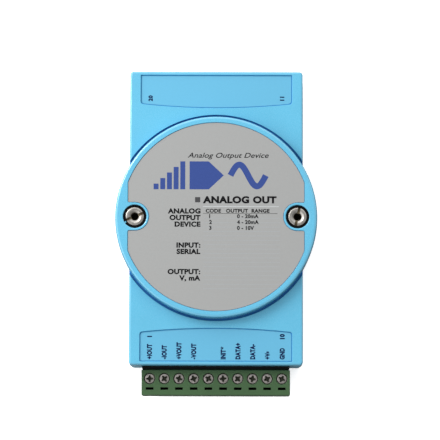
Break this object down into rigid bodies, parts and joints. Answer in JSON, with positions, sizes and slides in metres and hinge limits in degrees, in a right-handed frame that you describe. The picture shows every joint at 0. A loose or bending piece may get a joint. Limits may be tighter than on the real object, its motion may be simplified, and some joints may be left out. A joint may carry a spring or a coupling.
{
  "type": "plc module",
  "caption": "Flat plastic control module with a raised round front disc, two stacking screws in its face and a removable screw terminal block at one end.",
  "frame": {"origin": "centre of the flat back face, on the axis of the round front disc", "axes": "+Z out of the front face (the module lies on its back), +Y towards the end with no terminal block, +X to the right seen from the front"},
  "size_m": [0.07, 0.1124, 0.03],
  "materials": {
    "housing_plastic": "light blue moulded plastic, satin",
    "marking_film": "blue printed film",
    "front_label_film": "light grey printed film, matt",
    "terminal_plastic": "green moulded plastic, low gloss",
    "black_plastic": "black moulded plastic",
    "stacking_screw_metal": "nickel-plated, turned",
    "clamp_steel": "zinc-plated steel",
    "contact_metal": "tin-plated brass",
    "insert_brass": "turned brass",
    "circuit_board": "green solder mask on glass-epoxy laminate",
    "component_case": "moulded epoxy",
    "capacitor_sleeve": "shrink sleeve"
  },
  "bodies": {
    "housing": {"lower_shell": "housing_plastic", "upper_shell": "housing_plastic", "front_label": "front_label_film", "upper_marking_label": "marking_film", "lower_marking_label": "marking_film", "end_blank": "housing_plastic", "threaded_insert_left": "insert_brass", "threaded_insert_right": "insert_brass", "main_circuit_board": "circuit_board", "dc_dc_converter": "component_case", "microcontroller": "component_case", "output_converter_chip": "component_case", "electrolytic_capacitor": "capacitor_sleeve", "header_body": "black_plastic", "header_pin_01": "contact_metal", "header_pin_02": "contact_metal", "header_pin_03": "contact_metal", "header_pin_04": "contact_metal", "header_pin_05": "contact_metal", "header_pin_06": "contact_metal", "header_pin_07": "contact_metal", "header_pin_08": "contact_metal", "header_pin_09": "contact_metal", "header_pin_10": "contact_metal"},
    "plug": {"plug_body": "terminal_plastic", "socket_contact_01": "contact_metal", "socket_contact_02": "contact_metal", "socket_contact_03": "contact_metal", "socket_contact_04": "contact_metal", "socket_contact_05": "contact_metal", "socket_contact_06": "contact_metal", "socket_contact_07": "contact_metal", "socket_contact_08": "contact_metal", "socket_contact_09": "contact_metal", "socket_contact_10": "contact_metal"},
    "clamp_screw_01": {"clamp_screw_01": "clamp_steel"},
    "clamp_cage_01": {"clamp_cage_01": "clamp_steel"},
    "clamp_screw_02": {"clamp_screw_02": "clamp_steel"},
    "clamp_cage_02": {"clamp_cage_02": "clamp_steel"},
    "clamp_screw_03": {"clamp_screw_03": "clamp_steel"},
    "clamp_cage_03": {"clamp_cage_03": "clamp_steel"},
    "clamp_screw_04": {"clamp_screw_04": "clamp_steel"},
    "clamp_cage_04": {"clamp_cage_04": "clamp_steel"},
    "clamp_screw_05": {"clamp_screw_05": "clamp_steel"},
    "clamp_cage_05": {"clamp_cage_05": "clamp_steel"},
    "clamp_screw_06": {"clamp_screw_06": "clamp_steel"},
    "clamp_cage_06": {"clamp_cage_06": "clamp_steel"},
    "clamp_screw_07": {"clamp_screw_07": "clamp_steel"},
    "clamp_cage_07": {"clamp_cage_07": "clamp_steel"},
    "clamp_screw_08": {"clamp_screw_08": "clamp_steel"},
    "clamp_cage_08": {"clamp_cage_08": "clamp_steel"},
    "clamp_screw_09": {"clamp_screw_09": "clamp_steel"},
    "clamp_cage_09": {"clamp_cage_09": "clamp_steel"},
    "clamp_screw_10": {"clamp_screw_10": "clamp_steel"},
    "clamp_cage_10": {"clamp_cage_10": "clamp_steel"},
    "captive_bush_left": {"captive_bush_left": "black_plastic"},
    "stacking_screw_left": {"stacking_screw_left": "stacking_screw_metal"},
    "captive_bush_right": {"captive_bush_right": "black_plastic"},
    "stacking_screw_right": {"stacking_screw_right": "stacking_screw_metal"}
  },
  "joints": [
    {"name": "plug_slide", "type": "slide", "parent": "housing", "child": "plug", "axis": [0, -1, 0], "range_m": [0, 0.012]},
    {"name": "clamp_turn_01", "type": "hinge", "parent": "plug", "child": "clamp_screw_01", "pos_m": [-0.02286, -0.0555, 0.02], "axis": [0, 0, -1], "range_deg": [0, 1440.1]},
    {"name": "cage_rise_01", "type": "slide", "parent": "plug", "child": "clamp_cage_01", "axis": [0, 0, 1], "range_m": [0, 0.002]},
    {"name": "clamp_turn_02", "type": "hinge", "parent": "plug", "child": "clamp_screw_02", "pos_m": [-0.01778, -0.0555, 0.02], "axis": [0, 0, -1], "range_deg": [0, 1440.1]},
    {"name": "cage_rise_02", "type": "slide", "parent": "plug", "child": "clamp_cage_02", "axis": [0, 0, 1], "range_m": [0, 0.002]},
    {"name": "clamp_turn_03", "type": "hinge", "parent": "plug", "child": "clamp_screw_03", "pos_m": [-0.0127, -0.0555, 0.02], "axis": [0, 0, -1], "range_deg": [0, 1440.1]},
    {"name": "cage_rise_03", "type": "slide", "parent": "plug", "child": "clamp_cage_03", "axis": [0, 0, 1], "range_m": [0, 0.002]},
    {"name": "clamp_turn_04", "type": "hinge", "parent": "plug", "child": "clamp_screw_04", "pos_m": [-0.00762, -0.0555, 0.02], "axis": [0, 0, -1], "range_deg": [0, 1440.1]},
    {"name": "cage_rise_04", "type": "slide", "parent": "plug", "child": "clamp_cage_04", "axis": [0, 0, 1], "range_m": [0, 0.002]},
    {"name": "clamp_turn_05", "type": "hinge", "parent": "plug", "child": "clamp_screw_05", "pos_m": [-0.00254, -0.0555, 0.02], "axis": [0, 0, -1], "range_deg": [0, 1440.1]},
    {"name": "cage_rise_05", "type": "slide", "parent": "plug", "child": "clamp_cage_05", "axis": [0, 0, 1], "range_m": [0, 0.002]},
    {"name": "clamp_turn_06", "type": "hinge", "parent": "plug", "child": "clamp_screw_06", "pos_m": [0.00254, -0.0555, 0.02], "axis": [0, 0, -1], "range_deg": [0, 1440.1]},
    {"name": "cage_rise_06", "type": "slide", "parent": "plug", "child": "clamp_cage_06", "axis": [0, 0, 1], "range_m": [0, 0.002]},
    {"name": "clamp_turn_07", "type": "hinge", "parent": "plug", "child": "clamp_screw_07", "pos_m": [0.00762, -0.0555, 0.02], "axis": [0, 0, -1], "range_deg": [0, 1440.1]},
    {"name": "cage_rise_07", "type": "slide", "parent": "plug", "child": "clamp_cage_07", "axis": [0, 0, 1], "range_m": [0, 0.002]},
    {"name": "clamp_turn_08", "type": "hinge", "parent": "plug", "child": "clamp_screw_08", "pos_m": [0.0127, -0.0555, 0.02], "axis": [0, 0, -1], "range_deg": [0, 1440.1]},
    {"name": "cage_rise_08", "type": "slide", "parent": "plug", "child": "clamp_cage_08", "axis": [0, 0, 1], "range_m": [0, 0.002]},
    {"name": "clamp_turn_09", "type": "hinge", "parent": "plug", "child": "clamp_screw_09", "pos_m": [0.01778, -0.0555, 0.02], "axis": [0, 0, -1], "range_deg": [0, 1440.1]},
    {"name": "cage_rise_09", "type": "slide", "parent": "plug", "child": "clamp_cage_09", "axis": [0, 0, 1], "range_m": [0, 0.002]},
    {"name": "clamp_turn_10", "type": "hinge", "parent": "plug", "child": "clamp_screw_10", "pos_m": [0.02286, -0.0555, 0.02], "axis": [0, 0, -1], "range_deg": [0, 1440.1]},
    {"name": "cage_rise_10", "type": "slide", "parent": "plug", "child": "clamp_cage_10", "axis": [0, 0, 1], "range_m": [0, 0.002]},
    {"name": "bush_lift_left", "type": "slide", "parent": "housing", "child": "captive_bush_left", "axis": [0, 0, 1], "range_m": [0, 0.004]},
    {"name": "stacking_turn_left", "type": "hinge", "parent": "captive_bush_left", "child": "stacking_screw_left", "pos_m": [-0.02805, 0, 0.02], "axis": [0, 0, 1], "range_deg": [0, 2880.1]},
    {"name": "bush_lift_right", "type": "slide", "parent": "housing", "child": "captive_bush_right", "axis": [0, 0, 1], "range_m": [0, 0.004]},
    {"name": "stacking_turn_right", "type": "hinge", "parent": "captive_bush_right", "child": "stacking_screw_right", "pos_m": [0.02805, 0, 0.02], "axis": [0, 0, 1], "range_deg": [0, 2880.1]}
  ],
  "couplings": [
    {"joint": "clamp_turn_01", "follows": "cage_rise_01", "rad_per_m": 12566},
    {"joint": "clamp_turn_02", "follows": "cage_rise_02", "rad_per_m": 12566},
    {"joint": "clamp_turn_03", "follows": "cage_rise_03", "rad_per_m": 12566},
    {"joint": "clamp_turn_04", "follows": "cage_rise_04", "rad_per_m": 12566},
    {"joint": "clamp_turn_05", "follows": "cage_rise_05", "rad_per_m": 12566},
    {"joint": "clamp_turn_06", "follows": "cage_rise_06", "rad_per_m": 12566},
    {"joint": "clamp_turn_07", "follows": "cage_rise_07", "rad_per_m": 12566},
    {"joint": "clamp_turn_08", "follows": "cage_rise_08", "rad_per_m": 12566},
    {"joint": "clamp_turn_09", "follows": "cage_rise_09", "rad_per_m": 12566},
    {"joint": "clamp_turn_10", "follows": "cage_rise_10", "rad_per_m": 12566},
    {"joint": "stacking_turn_left", "follows": "bush_lift_left", "rad_per_m": 12566},
    {"joint": "stacking_turn_right", "follows": "bush_lift_right", "rad_per_m": 12566}
  ]
}
